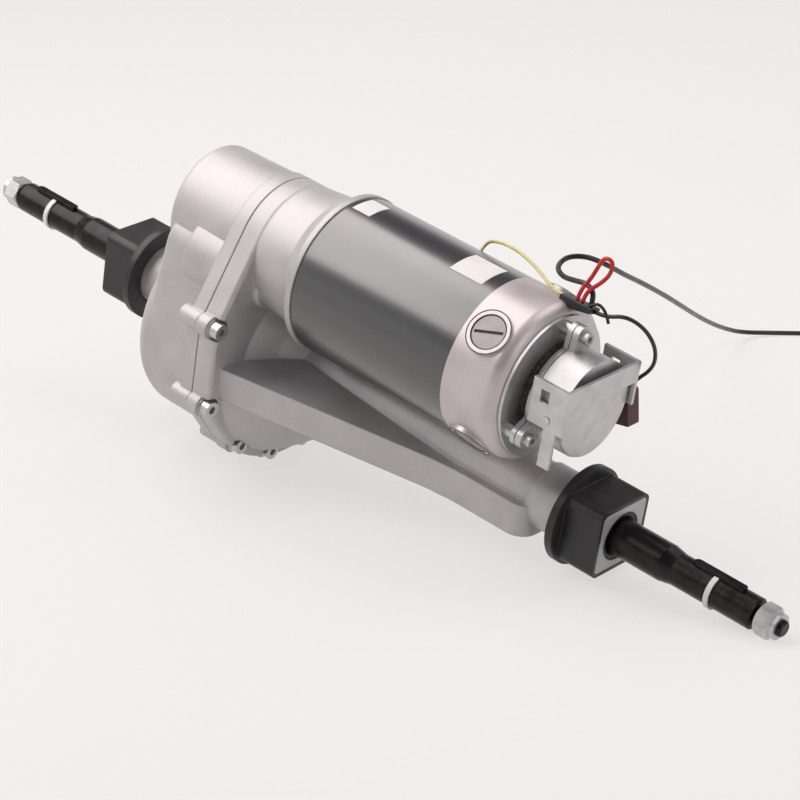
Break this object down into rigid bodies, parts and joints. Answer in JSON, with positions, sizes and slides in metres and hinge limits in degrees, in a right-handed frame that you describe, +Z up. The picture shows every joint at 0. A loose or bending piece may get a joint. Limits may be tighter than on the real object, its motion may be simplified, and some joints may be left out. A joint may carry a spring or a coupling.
{
  "type": "electric drive unit",
  "caption": "Electric drive unit for a small scooter: brushed motor, reduction gearbox with differential, parking brake with hand release, and a live rear axle in rubber blocks.",
  "frame": {"origin": "on the axle's centre line, midway between the two mounting blocks", "axes": "+X along the axle from the gearbox to the brake's side, +Z up through the motor, -Y towards the front"},
  "size_m": [0.62, 0.4884, 0.2255],
  "materials": {
    "cast_alloy": "satin",
    "bell_alloy": "satin",
    "can_black": "satin",
    "gasket": "matt",
    "zinc_steel": "satin",
    "steel": "satin",
    "gear_steel": "satin",
    "black_steel": "satin",
    "iron": "matt",
    "core_steel": "satin",
    "copper": "satin",
    "magnet": "matt",
    "carbon": "matt",
    "bronze": "satin",
    "block_rubber": "matt",
    "seal_rubber": "matt",
    "cap_plastic": "satin",
    "holder_plastic": "matt",
    "brown_plastic": "satin",
    "plug_plastic": "matt",
    "friction": "matt",
    "white_plastic": "satin",
    "cable_black": "satin",
    "wire_red": "satin",
    "wire_cream": "satin"
  },
  "bodies": {
    "housing": {"gearbox_cover": "cast_alloy", "gearbox_housing": "cast_alloy", "gasket": "gasket", "housing_bolts": "zinc_steel", "motor_can": "can_black", "motor_magnets": "magnet", "end_bell": "bell_alloy", "brush_caps": "cap_plastic", "brush_holders": "holder_plastic", "brushes": "carbon", "carrier_bearings": "steel", "cluster_bearings": "steel", "pinion_bearing": "steel", "drive_end_bearing": "steel", "brush_end_bearing": "steel", "brake_plate": "zinc_steel", "brake_field": "zinc_steel", "brake_coil": "copper", "brake_cover": "zinc_steel", "brake_screws": "zinc_steel", "axle_bushes": "bronze", "axle_seals": "seal_rubber", "lead_boot": "cable_black", "black_cable": "cable_black", "cable_coil": "cable_black", "cable_plug": "plug_plastic", "brake_lead": "cable_black", "brake_plug": "brown_plastic", "brake_pigtail": "cable_black", "red_wire": "wire_red", "cream_wire": "wire_cream", "left_block_rubber": "block_rubber", "right_block_rubber": "block_rubber"},
    "rotor": {"rotor_shaft": "gear_steel", "rotor_stack": "core_steel", "rotor_windings": "copper", "commutator": "copper", "brake_hub": "steel", "brake_disc": "friction"},
    "cluster": {"cluster_pinion": "gear_steel", "cluster_gear": "gear_steel"},
    "carrier": {"differential_case": "iron", "ring_gear": "gear_steel", "ring_screws": "steel", "cross_pin": "steel"},
    "left_axle": {"left_shaft": "black_steel", "left_side_gear": "gear_steel", "left_key": "black_steel", "left_band": "white_plastic", "left_nut": "zinc_steel"},
    "right_axle": {"right_shaft": "black_steel", "right_side_gear": "gear_steel", "right_key": "black_steel", "right_band": "white_plastic", "right_nut": "zinc_steel"},
    "spider_upper": {"spider_gear_upper": "gear_steel"},
    "spider_lower": {"spider_gear_lower": "gear_steel"},
    "lever": {"release_lever": "zinc_steel"},
    "armature": {"brake_armature": "zinc_steel"}
  },
  "joints": [
    {"name": "rotor_spin", "type": "hinge", "parent": "housing", "child": "rotor", "pos_m": [0.09, -0.01158, 0.07309], "axis": [1, 0, 0], "continuous": true},
    {"name": "cluster_spin", "type": "hinge", "parent": "housing", "child": "cluster", "pos_m": [-0.0825, -0.03239, 0.05751], "axis": [1, 0, 0], "continuous": true},
    {"name": "carrier_spin", "type": "hinge", "parent": "housing", "child": "carrier", "pos_m": [-0.0825, 0, 0], "axis": [1, 0, 0], "continuous": true},
    {"name": "left_axle_spin", "type": "hinge", "parent": "carrier", "child": "left_axle", "pos_m": [-0.0825, 0, 0], "axis": [1, 0, 0], "continuous": true},
    {"name": "right_axle_spin", "type": "hinge", "parent": "carrier", "child": "right_axle", "pos_m": [-0.0825, 0, 0], "axis": [1, 0, 0], "continuous": true},
    {"name": "spider_upper_spin", "type": "hinge", "parent": "carrier", "child": "spider_upper", "pos_m": [-0.0825, 0, 0], "axis": [0, 0, 1], "continuous": true},
    {"name": "spider_lower_spin", "type": "hinge", "parent": "carrier", "child": "spider_lower", "pos_m": [-0.0825, 0, 0], "axis": [0, 0, 1], "continuous": true},
    {"name": "lever_swing", "type": "hinge", "parent": "housing", "child": "lever", "pos_m": [0.1633, -0.01158, 0.07309], "axis": [0, 1, 0], "range_deg": [0, 10.5], "stiffness_Nm_per_rad": 0.6, "springref_deg": -11.46},
    {"name": "armature_lift", "type": "slide", "parent": "housing", "child": "armature", "axis": [1, 0, 0], "range_m": [0, 0.0003]}
  ],
  "couplings": [
    {"joint": "cluster_spin", "follows": "rotor_spin", "ratio": -0.2381},
    {"joint": "carrier_spin", "follows": "rotor_spin", "ratio": 0.042517},
    {"joint": "right_axle_spin", "follows": "left_axle_spin", "ratio": -1},
    {"joint": "spider_upper_spin", "follows": "left_axle_spin", "ratio": 1.6},
    {"joint": "spider_lower_spin", "follows": "left_axle_spin", "ratio": -1.6},
    {"joint": "lever_swing", "follows": "armature_lift", "rad_per_m": 581.78}
  ]
}
